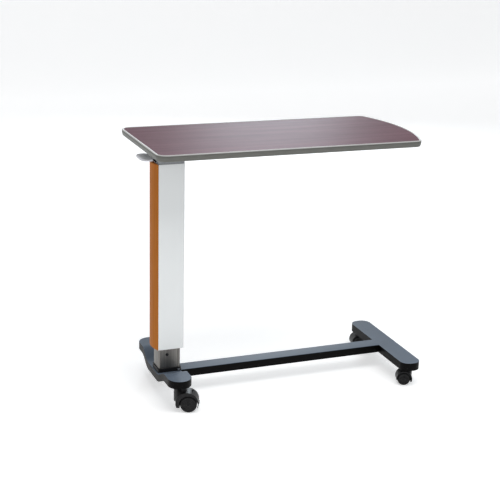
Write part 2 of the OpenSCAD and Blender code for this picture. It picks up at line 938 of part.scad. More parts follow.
module caster_sockets() {
    color([0.16, 0.16, 0.17]) for (i = [0 : 3]) at_caster(i) translate([0, 0, mount_z[i]]) difference() {
        cylinder(r = socket_r, h = socket_l);
        translate([0, 0, -1]) cylinder(r = stem_r, h = socket_l + 2);
    }
}

module caster_stems() {
    color("silver") for (i = [0 : 3]) at_caster(i) {
        translate([0, 0, mount_z[i] - stem_low]) cylinder(r = stem_r, h = stem_low + socket_l - 1);
        translate([0, 0, mount_z[i] - collar_disc_t]) cylinder(r = collar_disc_r, h = collar_disc_t);
    }
}

module caster_hood(i) {
    house_low = house_low_share * wheel_r[i];
    house_top = mount_z[i] - collar_disc_t - swivel_gap;
    color([0.09, 0.09, 0.10]) difference() {
        union() {
            at_caster(i) translate([0, 0, house_low]) cylinder(r = house_r[i], h = house_top - house_low);
            at_hood(i) cylinder(r = hood_r(i), h = hood_w(i), center = true);
        }
        for (s = [-1, 1]) {
            at_axle(i) translate([0, 0, s * (web_t / 2 + hood_r(i))]) {
                cylinder(r = wheel_r[i] + tread_gap, h = 2 * hood_r(i), center = true);
            }
        }
        at_caster(i) translate([-4 * wheel_r[i], -2 * wheel_r[i], -wheel_r[i]]) {
            cube([8 * wheel_r[i], 4 * wheel_r[i], wheel_r[i] * (1 + hood_low_share)]);
        }
        at_caster(i) translate([0, 0, mount_z[i] - stem_low - swivel_gap]) {
            cylinder(r = stem_r + run_gap, h = 2 * stem_low);
        }
        at_axle(i) cylinder(r = axle_r, h = 2 * web_t, center = true);
        if (i < 2) pedal_room(i);
    }
}

module caster_hood_fl() {
    caster_hood(0);
}

module caster_hood_bl() {
    caster_hood(1);
}

module caster_hood_fr() {
    caster_hood(2);
}

module caster_hood_br() {
    caster_hood(3);
}

module caster_axle(i) {
    color("silver") at_axle(i) cylinder(r = axle_r, h = hood_w(i) - 1, center = true);
}

module caster_axle_fl() {
    caster_axle(0);
}

module caster_axle_bl() {
    caster_axle(1);
}

module caster_axle_fr() {
    caster_axle(2);
}

module caster_axle_br() {
    caster_axle(3);
}

// One wheel, from its inner face outwards: a crowned tread and a dished outer face
module wheel(i, side) {
    r = wheel_r[i];
    w = wheel_w[i];
    bore = axle_r + run_gap;
    color([0.08, 0.08, 0.09]) at_axle(i) mirror([0, 0, side]) translate([0, 0, web_t / 2 + side_gap]) {
        rotate_extrude($fn = 96) polygon([
            [bore, 0], [r - 1.5, 0], [r - 0.3, 1.2], [r, 3], [r, w - 4], [r - 0.6, w - 2],
            [r - 2, w - 0.5], [r - 3.5, w], [r - 5.5, w], [r - 6.5, w - 1.8], [bore + 5, w - 2.6],
            [bore + 4, w - 0.8], [bore, w - 0.8]
        ]);
    }
}

module wheel_fl_a() {
    wheel(0, 0);
}

module wheel_fl_b() {
    wheel(0, 1);
}

module wheel_bl_a() {
    wheel(1, 0);
}

module wheel_bl_b() {
    wheel(1, 1);
}

module wheel_fr_a() {
    wheel(2, 0);
}

module wheel_fr_b() {
    wheel(2, 1);
}

module wheel_br_a() {
    wheel(3, 0);
}

module wheel_br_b() {
    wheel(3, 1);
}

// The pedal's pivot, in the hood's two sides behind the wheels: the local Z axis runs along it
module at_pedal(i) {
    pivot_r = hood_r(i) - pedal_pivot_in;
    at_hood(i) translate(pivot_r * [cos(pedal_turn), sin(pedal_turn), 0]) children();
}

// The room that the hood leaves for the pedal, and the bores for its two pins
module pedal_room(i) {
    pivot_x = (hood_r(i) - pedal_pivot_in) * cos(pedal_turn) - hood_shift[i];
    difference() {
        at_axle(i) translate([pivot_x - pedal_hub_r - pedal_gap, -2 * wheel_r[i], -pedal_half - pedal_gap]) {
            cube([2 * wheel_r[i], 4 * wheel_r[i], 2 * (pedal_half + pedal_gap)]);
        }
        at_axle(i) cylinder(r = pedal_web_r, h = 2 * web_t, center = true);
    }
    at_pedal(i) cylinder(r = pedal_pin_r + run_gap, h = 2 * (pedal_half + pedal_pin_l) + 0.6, center = true);
}

// A curved plate that lies in the hood's outline, hung from its upper edge, with a lip to step on
module pedal_outline(r) {
    intersection() {
        difference() {
            circle(r = r);
            circle(r = r - pedal_t);
        }
        polygon(2 * r * [
            [0, 0], [cos(pedal_low), sin(pedal_low)], [1, 1], [cos(pedal_turn + 3), sin(pedal_turn + 3)]
        ]);
    }
    rotate([0, 0, pedal_low]) translate([r - pedal_t / 2, pedal_lip_drop]) square([pedal_lip, pedal_t]);
}

module brake_pedal(i) {
    color([0.12, 0.12, 0.13]) {
        at_pedal(i) cylinder(r = pedal_hub_r, h = 2 * pedal_half - 1, center = true);
        at_pedal(i) cylinder(r = pedal_pin_r, h = 2 * (pedal_half + pedal_pin_l), center = true);
        at_hood(i) translate([0, 0, -pedal_half]) linear_extrude(2 * pedal_half) pedal_outline(hood_r(i));
    }
}

module brake_pedal_fl() {
    brake_pedal(0);
}

module brake_pedal_bl() {
    brake_pedal(1);
}

tabletop_core();
top_laminate();
backing_sheet();
edge_band();
rail_front();
rail_back();
rail_caps();
mounting_plate();
rail_screws();
plate_screws();
head_screws();
column_head();
release_lever();
lever_pin();
lever_spring();
valve_pin();
outer_column();
wood_panel();
lower_guide();
upper_glide();
inner_column();
column_plug();
column_screws();
base_collar();
collar_screws();
gas_cylinder();
gas_gland();
gas_rod();
gas_piston();
rod_nut();
column_foot();
foot_bolts();
cross_beam();
beam_plug_near();
beam_plug_far();
beam_screws();
far_foot();
far_foot_bolts();
caster_sockets();
caster_stems();
caster_hood_fl();
caster_hood_bl();
caster_hood_fr();
caster_hood_br();
caster_axle_fl();
caster_axle_bl();
caster_axle_fr();
caster_axle_br();
wheel_fl_a();
wheel_fl_b();
wheel_bl_a();
wheel_bl_b();
wheel_fr_a();
wheel_fr_b();
wheel_br_a();
wheel_br_b();
brake_pedal_fl();
brake_pedal_bl();
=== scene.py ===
# %% [markdown]
# # An overbed table
# A laminate top stands on one telescopic column, over a low base on four twin-wheel casters.
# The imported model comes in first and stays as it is: it says where everything goes and what
# moves. What a lens would notice and a solid model lacks is then added on top: rounded edges, a
# beaded edge profile, moulded wheels, and a finish with its own grain for every part.

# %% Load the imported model
import json
import math

import bmesh
import bpy
import numpy as np
from mathutils import Matrix, Vector


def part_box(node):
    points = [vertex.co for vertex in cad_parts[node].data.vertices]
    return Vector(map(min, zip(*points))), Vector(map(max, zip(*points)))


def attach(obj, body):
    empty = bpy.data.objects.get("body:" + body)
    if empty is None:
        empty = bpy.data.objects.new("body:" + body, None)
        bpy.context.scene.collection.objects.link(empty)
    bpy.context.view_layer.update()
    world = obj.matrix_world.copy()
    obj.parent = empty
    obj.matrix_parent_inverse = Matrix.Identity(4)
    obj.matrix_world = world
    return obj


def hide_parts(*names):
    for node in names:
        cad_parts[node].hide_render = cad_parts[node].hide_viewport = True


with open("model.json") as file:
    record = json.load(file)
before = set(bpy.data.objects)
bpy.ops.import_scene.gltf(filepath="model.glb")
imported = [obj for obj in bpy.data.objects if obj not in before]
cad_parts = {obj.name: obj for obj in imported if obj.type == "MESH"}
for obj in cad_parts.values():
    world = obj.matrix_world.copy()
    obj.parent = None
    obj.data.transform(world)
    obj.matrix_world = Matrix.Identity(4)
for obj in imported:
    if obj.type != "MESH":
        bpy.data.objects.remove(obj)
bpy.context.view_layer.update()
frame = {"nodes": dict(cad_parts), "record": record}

nodes = frame["nodes"]

# %% [markdown]
# ## Where the driving lines are
# Every place is read from the model's own parts, so a piece never has to be fitted by eye. The
# column's axis, the height of the top's surface and the size of each caster are worked out once.

# %% Driving places and sizes, in metres
MM = 0.001
column_low, column_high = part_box("inner_column")
column_x = (column_low.x + column_high.x) / 2
top_low, top_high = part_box("edge_band")
surface_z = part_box("top_laminate")[1].z
print("column at", round(column_x, 4), "surface at", round(surface_z, 4))

# %% [markdown]
# ## The camera
# A product view from the front and left, a little above the top. A long lens keeps the verticals
# nearly parallel. The camera is turned by three plain angles: yaw, pitch and a small roll.

# %% Camera
def camera_axes(yaw, pitch, roll):
    """Right, up and back vectors of a camera. Back is the direction at azimuth yaw and elevation
    pitch; right is level; then right and up are turned by roll about back."""
    a, e, r = np.radians([yaw, pitch, roll])
    back = np.array([np.sin(a) * np.cos(e), -np.cos(a) * np.cos(e), np.sin(e)])
    right = np.cross([0, 0, 1], back)
    right /= np.linalg.norm(right)
    up = np.cross(back, right)
    return np.cos(r) * right + np.sin(r) * up, np.cos(r) * up - np.sin(r) * right, back


lens = bpy.data.cameras.new("view")
lens.sensor_width = 36
lens.lens = 85.12
lens.clip_end = 50
camera = bpy.data.objects.new("view", lens)
bpy.context.scene.collection.objects.link(camera)
turned = Matrix(np.column_stack(camera_axes(-21.4217, 17.2421, 1.4888)).tolist()).to_4x4()
camera.matrix_world = Matrix.Translation((-1.3183, -3.1576, 1.4817)) @ turned
bpy.context.scene.camera = camera
print("camera at", tuple(round(v, 3) for v in camera.location))

# %% [markdown]
# ## Shader maths as plain Python
# A procedural finish is arithmetic on fields: noise times a mask, one minus a ramp. Wiring that
# by hand is slow to read, so one small class wraps a socket, and the operators on it add the
# Math nodes. Colours and vectors keep their own nodes, because a Math node turns them grey.

# %% The socket wrapper
class Field:
    """A node socket that takes part in Python expressions. Each operator adds one Math node."""

    def __init__(self, tree, socket):
        self.tree = tree
        self.socket = socket

    def node(self, kind, settings=None, out=0, **inputs):
        """Adds a node: its type, then its settings, then its sockets' values or links."""
        n = self.tree.nodes.new(kind)
        for key, value in (settings or {}).items():
            setattr(n, key, value)
        for key, value in inputs.items():
            name = int(key[1:]) if key[0] == "s" and key[1:].isdigit() else key.replace("_", " ")
            feed(self.tree, n.inputs[name], value)
        return Field(self.tree, n.outputs[out])

    def maths(self, operation, *values):
        return self.node("ShaderNodeMath", {"operation": operation},
                         **{f"s{i}": v for i, v in enumerate(values)})

    def __add__(self, other):
        return self.maths("ADD", self, other)

    def __radd__(self, other):
        return self.maths("ADD", other, self)

    def __sub__(self, other):
        return self.maths("SUBTRACT", self, other)

    def __rsub__(self, other):
        return self.maths("SUBTRACT", other, self)

    def __mul__(self, other):
        return self.maths("MULTIPLY", self, other)

    def clamp(self):
        return self.maths("MINIMUM", self.maths("MAXIMUM", self, 0.0), 1.0)

    def ramp(self, low, high):
        """0 below low, 1 above high, and a smooth step in between."""
        return self.node("ShaderNodeMapRange", {"interpolation_type": "SMOOTHSTEP"},
                         Value=self, s1=low, s2=high)

    def stretched(self, x, y, z):
        """The same coordinates, scaled along each axis."""
        return self.node("ShaderNodeMapping", Scale=(x, y, z), Vector=self)

    def noise(self, scale, detail=4.0, rough=0.55, warp=0.0):
        return self.node("ShaderNodeTexNoise", Vector=self, Scale=scale, Detail=detail,
                         Roughness=rough, Distortion=warp)

    def mix(self, low, high):
        """The colour low where this field is 0, and high where it is 1."""
        return self.node("ShaderNodeMix", {"data_type": "RGBA"}, out=2, s0=self, s6=low, s7=high)


def feed(tree, socket, value):
    """Links a Field to a socket, or sets the socket's own value."""
    if isinstance(value, Field):
        tree.links.new(value.socket, socket)
    elif isinstance(value, tuple) and len(value) == 3 and socket.type == "RGBA":
        socket.default_value = (*value, 1.0)
    else:
        socket.default_value = value


# %% One function that makes a finish
finishes = {}


def finish(name, build):
    """A material. build gets the object's coordinates and gives the shader's inputs as a dict.
    A height among them goes through a Bump node: (field, distance in metres, strength)."""
    material = bpy.data.materials.new(name)
    material.use_nodes = True
    tree = material.node_tree
    shader = tree.nodes["Principled BSDF"]
    place = Field(tree, tree.nodes.new("ShaderNodeTexCoord").outputs["Object"])
    inputs = build(place)
    height = inputs.pop("height", None)
    if height:
        field, distance, strength = height
        bump = place.node("ShaderNodeBump", Strength=strength, Distance=distance, Height=field)
        feed(tree, shader.inputs["Normal"], bump)
    for key, value in inputs.items():
        feed(tree, shader.inputs[key], value)
    finishes[name] = material
    return material


def edge_wear(place, width):
    """0 on a flat face and near 1 at a convex edge: how far a bevelled normal leans away from the
    true one."""
    soft = place.node("ShaderNodeBevel", {"samples": 4}, Radius=width)
    true = place.node("ShaderNodeNewGeometry", out=1)
    lean = place.node("ShaderNodeVectorMath", {"operation": "DOT_PRODUCT"}, out=1,
                      s0=soft, s1=true)
    return (1.0 - lean).ramp(0.01, 0.2)


# %% [markdown]
# ## The laminate
# Printed wood grain runs along the top. It is long soft streaks over fine pores, in a brown
# with a mauve cast. A satin overlay lies over the print, so the grain colours the surface and
# barely roughens it. Stretched noise makes both scales: it is squeezed across the grain.

# %% Laminate finish
def laminate(place):
    flow = place.stretched(1.1, 14, 14)
    broad = flow.noise(3.0, 3, 0.5, 0.35)
    streak = place.stretched(2.2, 90, 90).noise(3.0, 5, 0.6, 0.2)
    pores = place.stretched(9, 520, 520).noise(2.5, 3, 0.6).ramp(0.56, 0.70)
    tone = (broad * 0.55 + streak * 0.45).ramp(0.34, 0.66)
    wood = tone.mix((0.092, 0.029, 0.045), (0.138, 0.052, 0.073))
    return {
        "Base Color": (pores * 0.30).mix(wood, (0.055, 0.025, 0.036)),
        "Roughness": 0.44 + streak * 0.10 + pores * 0.10,
        "Specular IOR Level": 0.08,
        "height": (1.0 - pores, 0.00004, 0.35),
    }


finish("laminate", laminate)
print("finishes", len(finishes))

# %% [markdown]
# ## The orange-brown panel
# The bowed panel beside the column carries a warmer wood print with its grain upright. The
# print has dark veins that wander slowly, so a warped wave is laid over the streaks.

# %% Panel finish
def panel_wood(place):
    veins = place.stretched(60, 60, 1.5).noise(2.2, 4, 0.55, 0.9)
    fine = place.stretched(420, 420, 7).noise(2.0, 3, 0.6)
    dark = veins.ramp(0.47, 0.62)
    tone = (veins * 0.6 + fine * 0.4).ramp(0.35, 0.65)
    wood = tone.mix((0.34, 0.100, 0.008), (0.50, 0.165, 0.018))
    return {
        "Base Color": (dark * 0.30).mix(wood, (0.20, 0.056, 0.006)),
        "Roughness": 0.50 + fine * 0.14,
        "Specular IOR Level": 0.1,
        "height": (fine, 0.00003, 0.3),
    }


finish("panel_wood", panel_wood)

# %% [markdown]
# ## Coated metal
# A powder coat melts into a skin with a faint orange peel: low bumps a few millimetres across.
# It thins at edges, where handling polishes it. The column is white. The base is charcoal and glossier.
# What faces up is painted a pale bluish grey, a painted reflection of the bright room, with a little
# floor dust in it.

# %% Powder coats
def powder_coat(colour, worn, rough, peel):
    def build(place):
        cells = place.noise(520, 2, 0.5)
        cloud = place.noise(9, 3, 0.6)
        wear = edge_wear(place, 0.0012)
        return {
            "Base Color": (wear * 0.35 + cloud * 0.06).mix(colour, worn),
            "Roughness": rough + cloud * 0.08 - wear * 0.06,
            "Specular IOR Level": 0.5,
            "height": (cells, 0.00005, peel),
        }
    return build


def dust_and_sheen_coat(place):
    speckle = place.noise(900, 2, 0.7).ramp(0.55, 0.75)
    cells = place.noise(480, 2, 0.5)
    cloud = place.noise(7, 4, 0.6)
    up = place.node("ShaderNodeSeparateXYZ", out=2,
                    Vector=place.node("ShaderNodeNewGeometry", out=1))
    # painted reflection: faces that point up turn pale bluish grey, standing for the bright room they
    # mirror; the speckle and cloud in it are real dust
    dust = (up.ramp(0.4, 1.0) * (0.55 + cloud * 0.35 + speckle * 0.15)).clamp()
    wear = edge_wear(place, 0.0015)
    coat = (wear * 0.20).mix((0.0012, 0.0010, 0.0010), (0.030, 0.034, 0.042))
    return {
        # (0.165, 0.205, 0.262) is the painted reflection's pale bluish grey, laid on the up-facing faces
        # by the mask above
        "Base Color": dust.mix(coat, (0.165, 0.205, 0.262)),
        "Roughness": 0.34 + cloud * 0.08 + dust * 0.06,
        "Specular IOR Level": 0.07,
        "height": (cells, 0.00006, 0.35),
    }


finish("column_white", powder_coat((0.84, 0.86, 0.86), (0.92, 0.93, 0.93), 0.34, 0.25))
finish("frame_coat", powder_coat((0.030, 0.032, 0.036), (0.080, 0.083, 0.090), 0.42, 0.5))
finish("gas_black", powder_coat((0.010, 0.010, 0.011), (0.05, 0.05, 0.05), 0.25, 0.2))
finish("base_coat", dust_and_sheen_coat)

# %% [markdown]
# ## Bare metals
# A drawn tube shows lines along its length, so noise is stretched until only thin stripes are
# left, and it drives both tone and roughness. Plated screws have a fine crystal mottle. Cast
# metal is blasted: an even grain of small pits.

# %% Metals
def drawn(colour, dark, rough, along=(700, 700, 2)):
    def build(place):
        lines = place.stretched(*along).noise(1.0, 3, 0.7)
        broad = place.stretched(along[0] / 12, along[1] / 12, along[2] / 2).noise(1.0, 2, 0.5)
        smudge = place.noise(14, 4, 0.6)
        return {
            "Base Color": (lines * 0.7 + broad * 0.3).ramp(0.3, 0.7).mix(dark, colour),
            "Metallic": 1.0,
            "Roughness": rough + lines * 0.12 + smudge * 0.08,
            "height": (lines, 0.00002, 0.35),
        }
    return build


def grained(colour, dark, metallic, rough, scale, depth):
    def build(place):
        pits = place.noise(scale, 3, 0.65)
        mottle = place.noise(scale / 9, 4, 0.6)
        wear = edge_wear(place, 0.0005)
        return {
            "Base Color": (mottle * 0.6 + pits * 0.3 + wear * 0.3).ramp(0.3, 0.8).mix(dark, colour),
            "Metallic": metallic,
            "Roughness": rough + mottle * 0.14 - wear * 0.05,
            "height": (pits, depth, 0.5),
        }
    return build


finish("inner_metal", drawn((0.34, 0.325, 0.305), (0.11, 0.104, 0.097), 0.36))
finish("plug_alloy", drawn((0.60, 0.61, 0.63), (0.40, 0.41, 0.43), 0.35, (3, 900, 900)))
finish("rod_chrome", drawn((0.80, 0.81, 0.83), (0.70, 0.71, 0.73), 0.06, (900, 900, 900)))
finish("head_cast", grained((0.42, 0.43, 0.44), (0.26, 0.27, 0.28), 1.0, 0.50, 1500, 0.0001))
finish("fastener", grained((0.66, 0.67, 0.68), (0.45, 0.46, 0.48), 1.0, 0.26, 2200, 0.00003))
finish("screw_dark", grained((0.060, 0.060, 0.062), (0.020, 0.020, 0.021), 1.0, 0.34, 2200, 0.00003))
finish("spring_steel", grained((0.45, 0.46, 0.48), (0.25, 0.26, 0.28), 1.0, 0.28, 2600, 0.00002))
finish("axle_steel", grained((0.030, 0.030, 0.032), (0.012, 0.012, 0.013), 1.0, 0.42, 2600, 0.00002))
finish("piston_brass", grained((0.72, 0.52, 0.22), (0.50, 0.34, 0.12), 1.0, 0.28, 1800, 0.00003))

# %% [markdown]
# ## Plastics, tread and board
# Moulded plastic has the tool's spark-eroded texture: a fine, even grain, with edges rubbed
# smoother and lighter. The tread is softer and picks up floor dust where it rolls. The core
# board shows its pressed chips only at its cut faces: cells of random tone.

# %% Plastics
def moulded(colour, wear_and_highlight, rough, scale=1400, depth=0.00008, gloss=0.4):
    """Textured plastic, a little paler where its edges are worn."""
    def build(place):
        grain = place.noise(scale, 2, 0.6)
        cloud = place.noise(12, 3, 0.6)
        wear = edge_wear(place, 0.0008)
        return {
            "Base Color": (wear * 0.55 + cloud * 0.15).mix(colour, wear_and_highlight),
            "Roughness": rough + grain * 0.10 - wear * 0.12 + cloud * 0.06,
            "Specular IOR Level": gloss,
            "height": (grain, depth, 0.4),
        }
    return build


def edge_plastic(place):
    """Grey plastic whose bead, the part above the board's surface, is painted pale and made smoother: a
    painted highlight along the band's top.
    """
    grain = place.noise(1100, 2, 0.6)
    streak = place.stretched(30, 30, 900).noise(1.0, 3, 0.6)
    level = place.node("ShaderNodeSeparateXYZ", out=2, Vector=place)
    # painted highlight: the bead above the board's surface is coloured pale grey, standing for the light
    # that its top catches
    wear_and_highlight = level.ramp(surface_z - 2.4 * MM, surface_z - 0.2 * MM)
    plain = streak.ramp(0.3, 0.7).mix((0.125, 0.125, 0.112), (0.165, 0.166, 0.152))
    return {
        "Base Color": (wear_and_highlight * 0.85).mix(plain, (0.56, 0.555, 0.54)),
        "Roughness": 0.40 + grain * 0.10 - wear_and_highlight * 0.10,
        "Specular IOR Level": 0.25,
        "height": (grain, 0.00004, 0.35),
    }


def rolled_tread(place):
    scuff = place.noise(320, 4, 0.7)
    dust = place.noise(60, 3, 0.6).ramp(0.40, 0.72)
    wear = edge_wear(place, 0.0010)
    rubber = (wear * 0.8).mix((0.005, 0.005, 0.0055), (0.075, 0.075, 0.078))
    return {
        "Base Color": (dust * 0.15).mix(rubber, (0.060, 0.057, 0.054)),
        "Roughness": 0.42 + scuff * 0.22 + dust * 0.1,
        "Specular IOR Level": 0.25,
        "height": (scuff, 0.0001, 0.35),
    }


def pressed_chips(place):
    chips = place.node("ShaderNodeTexVoronoi", {"feature": "F1"}, out=1,
                       Vector=place.stretched(1, 1, 2.2), Scale=420.0)
    tone = place.node("ShaderNodeRGBToBW", Color=chips)
    return {
        "Base Color": tone.mix((0.34, 0.22, 0.11), (0.62, 0.46, 0.27)),
        "Roughness": 0.75 + tone * 0.15,
        "height": (tone, 0.0002, 0.5),
    }


finish("edge", edge_plastic)
finish("lever_plastic", moulded((0.60, 0.60, 0.63), (0.72, 0.72, 0.75), 0.34))
finish("black_plastic", moulded((0.008, 0.008, 0.009), (0.045, 0.045, 0.047), 0.48, gloss=0.2))
finish("collar_plastic", moulded((0.008, 0.008, 0.009), (0.045, 0.045, 0.047), 0.45, gloss=0.2))
finish("pedal_plastic", moulded((0.007, 0.007, 0.0075), (0.050, 0.050, 0.052), 0.40, gloss=0.3))
finish("hood_plastic", moulded((0.005, 0.005, 0.0055), (0.050, 0.050, 0.053), 0.30, 1600, 0.00004, 0.22))
finish("gland", moulded((0.62, 0.59, 0.51), (0.72, 0.70, 0.62), 0.42))
finish("backing", moulded((0.56, 0.56, 0.54), (0.62, 0.62, 0.60), 0.55, 700, 0.00004))
finish("wheel_tread", rolled_tread)
finish("board", pressed_chips)
print("finishes", len(finishes))

# %% [markdown]
# ## Every node gets the finish of its slot
# The record already says which slot each node belongs to, so one pass dresses them all. The
# pieces below replace some nodes and take their finish from the same table.

# %% Dress the nodes
slots = {part["node"]: part["material_slot"] for part in frame["record"]["subparts"]}
for name, thing in nodes.items():
    thing.data.materials.clear()
    thing.data.materials.append(finishes[slots[name]])
print("dressed", len(nodes), "nodes")
bodies = frame["record"]["behaviour"]["bodies"]
body_of = {node: body for body, members in bodies.items() for node in members}

# %% [markdown]
# ## Surfaces from arrays
# A new piece is a grid of points worked out in one go: rows run along the piece and columns run
# round it. One helper joins neighbours into quads, closes the grid where it comes back on
# itself, and caps what stays open. The faces follow the grid's order, so they all agree.

# %% Grid to mesh
def grid_faces(rows, columns, wrap_rows, wrap_columns):
    """Quads between neighbouring points of a grid, by index arithmetic on whole arrays."""
    i = np.arange(rows if wrap_rows else rows - 1)[:, None]
    j = np.arange(columns if wrap_columns else columns - 1)[None, :]
    i2, j2 = (i + 1) % rows, (j + 1) % columns
    corners = [i * columns + j, i * columns + j2, i2 * columns + j2, i2 * columns + j]
    return np.stack(np.broadcast_arrays(*corners), -1).reshape(-1, 4)


class Surface:
    """Several grids gathered into one mesh."""

    def __init__(self):
        self.points = []
        self.faces = []
        self.count = 0

    def grid(self, points, wrap_rows=False):
        """points[rows, columns, 3]. The columns go round. One polygon each closes the first and
        the last row, unless the rows go round as well."""
        rows, columns = points.shape[:2]
        quads = grid_faces(rows, columns, wrap_rows, True) + self.count
        self.faces += quads.tolist()
        if not wrap_rows:
            ring = np.arange(columns)
            self.faces.append((ring[::-1] + self.count).tolist())
            self.faces.append((ring + (rows - 1) * columns + self.count).tolist())
        self.points.append(points.reshape(-1, 3))
        self.count += rows * columns
        return self

    def piece(self, name, node, smooth=35):
        """The finished object: doubles merged, normals made to face out, riding on the body of the
        node that it replaces."""
        mesh = bpy.data.meshes.new(name)
        mesh.from_pydata(np.concatenate(self.points).tolist(), [], self.faces)
        return finish_piece(mesh, name, [node], smooth)


def finish_piece(mesh, name, replaced, smooth=35, merge=1e-6):
    work = bmesh.new()
    work.from_mesh(mesh)
    bmesh.ops.remove_doubles(work, verts=work.verts, dist=merge)
    bmesh.ops.dissolve_degenerate(work, dist=merge, edges=work.edges)
    bmesh.ops.recalc_face_normals(work, faces=work.faces)
    work.to_mesh(mesh)
    work.free()
    thing = bpy.data.objects.new(name, mesh)
    bpy.context.scene.collection.objects.link(thing)
    mesh.materials.append(finishes[slots[replaced[0]]])
    mesh.shade_smooth()
    mesh.set_sharp_from_angle(angle=math.radians(smooth))
    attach(thing, body_of[replaced[0]])
    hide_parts(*replaced)
    return thing

# %% [markdown]
# ## Softened copies
# No cast, extruded or moulded edge is truly sharp: a thin rounded edge catches light and tells
# the eye how thick a part is. The model's mesh stays untouched, so each such part gets a copy
# with its triangles merged, and a Bevel modifier rounds only the edges that a rule picks.

# %% Soften a copy of a node
def soften(node, width, segments=3, pick=None, angle=35):
    """A copy of a node with rounded edges. pick takes the edges' middles as an array and says
    which of the sharp edges are rounded."""
    mesh = nodes[node].data.copy()
    mesh.materials.clear()
    work = bmesh.new()
    work.from_mesh(mesh)
    bmesh.ops.remove_doubles(work, verts=work.verts, dist=2e-6)
    bmesh.ops.dissolve_limit(work, angle_limit=math.radians(0.3), verts=work.verts, edges=work.edges)
    work.to_mesh(mesh)
    work.free()
    thing = finish_piece(mesh, "soft_" + node, [node], angle, merge=2e-6)
    ends = np.array([v.co for v in mesh.vertices])
    middles = ends[np.array([e.vertices[:] for e in mesh.edges])].mean(axis=1)
    sharp = np.zeros(len(mesh.edges), bool)
    mesh.attributes["sharp_edge"].data.foreach_get("value", sharp)
    chosen = sharp if pick is None else sharp & pick(middles)
    weight = mesh.attributes.new("bevel_weight_edge", "FLOAT", "EDGE")
    weight.data.foreach_set("value", chosen.astype(np.float32))
    bevel = thing.modifiers.new("edges", "BEVEL")
    bevel.limit_method = "WEIGHT"
    bevel.width = width
    bevel.segments = segments
    bevel.harden_normals = True
    return thing


def clear_of(points, centre, radius):
    """True for each point that lies further than radius from a vertical axis."""
    return np.hypot(points[:, 0] - centre[0], points[:, 1] - centre[1]) > radius


soften("outer_column", 0.5 * MM)
soften("wood_panel", 0.5 * MM)
soften("base_collar", 0.8 * MM)
soften("lower_guide", 0.4 * MM)
soften("column_head", 0.8 * MM)
soften("mounting_plate", 0.6 * MM)
for side in ("front", "back"):
    soften("rail_" + side, 0.5 * MM)
print("softened the column and what lies under the top")

# %% [markdown]
# ## The base
# The feet are castings, with a generous radius round their outer rims, but their screw and stem
# holes are drilled afterwards and keep crisp edges. The rule for the rim is a distance from
# each hole. The beam is a drawn tube: its corners are already round, so its ends are eased.

# %% Feet and beam
foot_low, foot_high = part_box("column_foot")
far_low, far_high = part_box("far_foot")
joints = frame["record"]["behaviour"]["joints"]
stem_at = [joint["pos_m"][:2] for joint in joints if joint["name"].startswith("swivel")]


def outer_rim(low, high):
    """A rule that picks the edges of a foot's outside and leaves its slot, pockets and holes."""
    def pick(middles):
        free = np.all([clear_of(middles, at, 9 * MM) for at in stem_at], axis=0)
        x_in = np.abs(middles[:, 0] - (low.x + high.x) / 2)
        y_in = np.abs(middles[:, 1] - (low.y + high.y) / 2)
        upper = middles[:, 2] > low.z + 22 * MM
        side = (x_in > (high.x - low.x) / 2 - 11 * MM) & (y_in > 27 * MM)
        tip = y_in > (high.y - low.y) / 2 - 30 * MM
        return free & ((side | tip) | (upper & (x_in > 27 * MM)))
    return pick


soften("column_foot", 3.2 * MM, 5, outer_rim(foot_low, foot_high), 30)
soften("far_foot", 3.0 * MM, 5, outer_rim(far_low, far_high), 30)
soften("cross_beam", 0.4 * MM)
print("feet from", tuple(round(v, 3) for v in foot_low), "to", tuple(round(v, 3) for v in far_high))

# %% [markdown]
# ## The edge profile
# A plastic profile runs round the board and ends in a butt joint in the middle of the straight
# end. Its section is always the same: a flat back, a lip below, a crowned side with a thin
# groove, and a bead that stands proud of the laminate. So the section is carried along the
# outline, moved along the outline's own normals.

# %% The top's outline, as points with outward normals
def arc(centre, radius, start, stop, count):
    """Points and outward normals of a circle's arc. Angles are in degrees."""
    a = np.radians(np.linspace(start, stop, count))[:, None]
    normal = np.hstack([np.cos(a), np.sin(a)])
    return np.array(centre) + radius * normal, normal


def top_outline(end_radius, bow_radius, bow_corner):
    """Half of the outline: from the middle of the straight end, round its corner, along the long
    side, round the bow's corner and to the bow's tip; then its mirror image back again."""
    half = top_high.y
    bow_x = top_high.x - bow_radius
    reach = np.sqrt((bow_radius - bow_corner) ** 2 - (half - bow_corner) ** 2)
    corner = np.array([bow_x + reach, half - bow_corner])
    meet = math.degrees(math.atan2(corner[1], corner[0] - bow_x))
    start = (np.array([[top_low.x, 0.0003], [top_low.x, half / 2]]), np.array([[-1.0, 0], [-1.0, 0]]))
    parts = [start,
             arc((top_low.x + end_radius, half - end_radius), end_radius, 180, 90, 14),
             arc(corner, bow_corner, 90, meet, 16),
             arc((bow_x, 0), bow_radius, meet - 0.6, 0, 40)]
    points, normals = (np.vstack([part[k] for part in parts]) for k in (0, 1))
    back = slice(-2, None, -1)
    flip = np.array([1, -1])
    return np.vstack([points, points[back] * flip]), np.vstack([normals, normals[back] * flip])


bow_rise = 42 * MM
bow_radius = (top_high.y ** 2 + bow_rise ** 2) / (2 * bow_rise)
outline, outward = top_outline(30 * MM, bow_radius, 26 * MM)
print("outline", outline.shape, "bow radius", round(bow_radius, 3))

